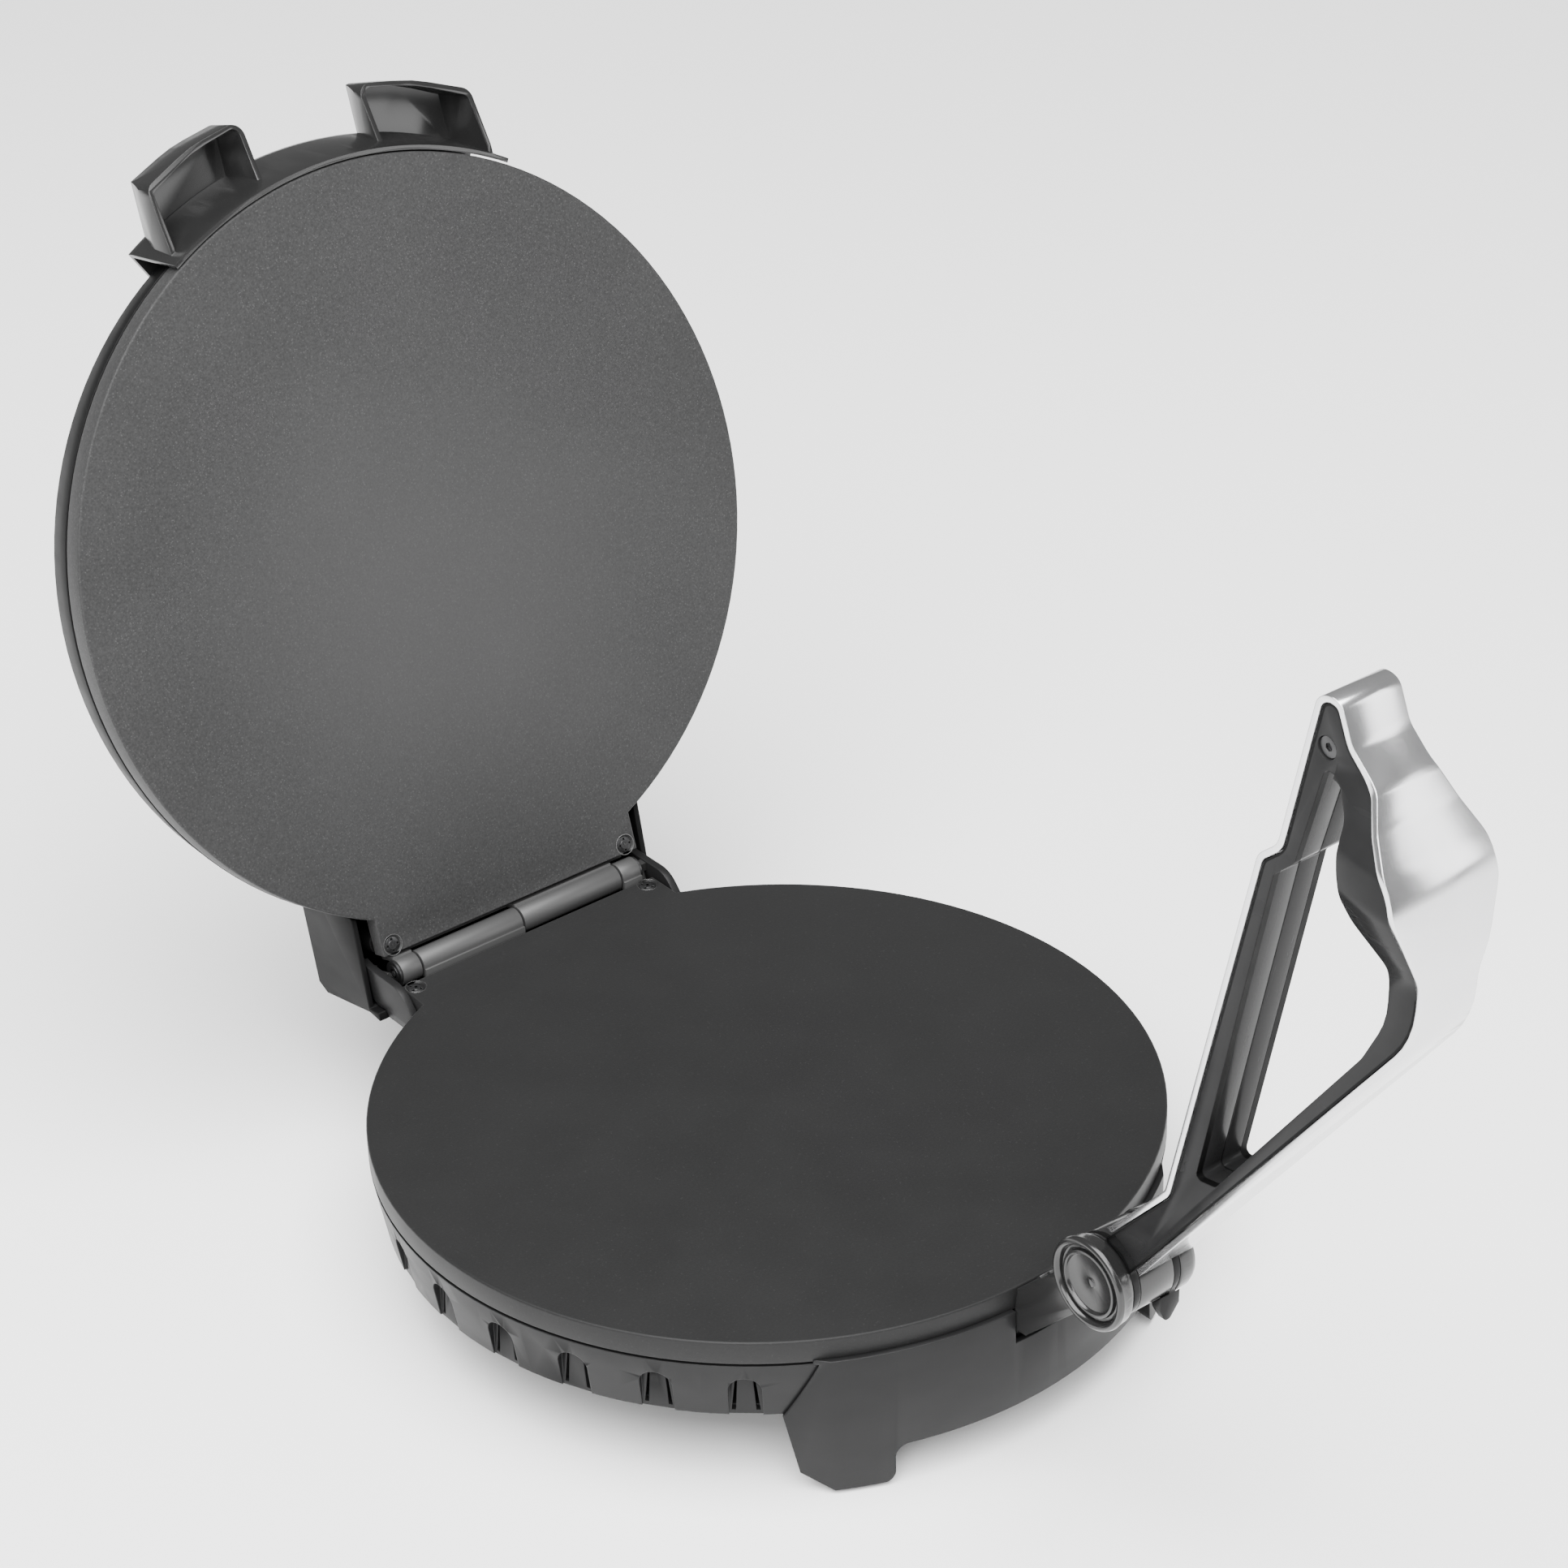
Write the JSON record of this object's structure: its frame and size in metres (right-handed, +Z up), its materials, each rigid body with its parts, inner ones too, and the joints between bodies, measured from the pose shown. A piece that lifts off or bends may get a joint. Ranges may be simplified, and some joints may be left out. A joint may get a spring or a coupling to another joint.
{
  "type": "electric roti maker",
  "caption": "Electric flatbread press with round hinged cooking plates, finger lugs on the open lid and a looped press lever pivoted on a neck at the front.",
  "frame": {"origin": "centre of the lower plate's cooking face", "axes": "+X to the right seen from the front, +Y back to the hinge, +Z up out of the lower plate"},
  "size_m": [0.3, 0.6194, 0.3839],
  "materials": {
    "lower_coating": "fine matte non-stick coating",
    "upper_coating": "speckled matte non-stick coating",
    "housing": "fine textured charcoal",
    "gloss_black": "gloss",
    "inlay": "gloss dark grey",
    "silver": "satin silver",
    "hinge_paint": "semi gloss charcoal",
    "steel": "plain steel",
    "rubber": "matte",
    "ceramic": "heat resistant white",
    "lead": "sleeved lead"
  },
  "bodies": {
    "base": {"lower_plate": "lower_coating", "base_housing": "housing", "front_saddle": "housing", "rear_saddle": "housing", "bottom_cover": "housing", "rubber_feet": "rubber", "lower_heater": "steel", "lower_heater_clamps": "steel", "lower_shield": "steel", "lower_thermostat": "ceramic", "thermal_fuse": "ceramic", "terminal_block": "ceramic", "base_wiring": "lead", "cord_gland": "rubber", "cover_screws": "steel", "saddle_screws": "steel", "base_tongue_screws": "steel", "base_hinge_leaf": "hinge_paint", "hinge_pin": "steel", "hinge_clips": "steel", "lever_neck": "gloss_black", "neck_screws": "steel", "pivot_pin": "steel", "limit_pin": "steel"},
    "lid": {"upper_plate": "upper_coating", "lid_housing": "housing", "lid_grip": "gloss_black", "grip_screws": "steel", "upper_heater": "steel", "upper_heater_clamps": "steel", "upper_shield": "steel", "upper_thermostat": "ceramic", "lid_wiring": "lead", "lid_tongue_screws": "steel", "lid_hinge_leaf": "hinge_paint"},
    "lever": {"lever_shell": "silver", "lever_frame_left": "inlay", "lever_frame_right": "inlay", "lever_screw": "steel", "pivot_bushes": "ceramic", "pivot_cap_left": "gloss_black", "pivot_cap_right": "gloss_black"}
  },
  "joints": [
    {"name": "lid_hinge", "type": "hinge", "parent": "base", "child": "lid", "pos_m": [0, 0.16, 0.0015], "axis": [1, 0, 0], "range_deg": [0, 106.5]},
    {"name": "lever_hinge", "type": "hinge", "parent": "base", "child": "lever", "pos_m": [0, -0.198, 0.034], "axis": [-1, 0, 0], "range_deg": [0, 109]}
  ]
}
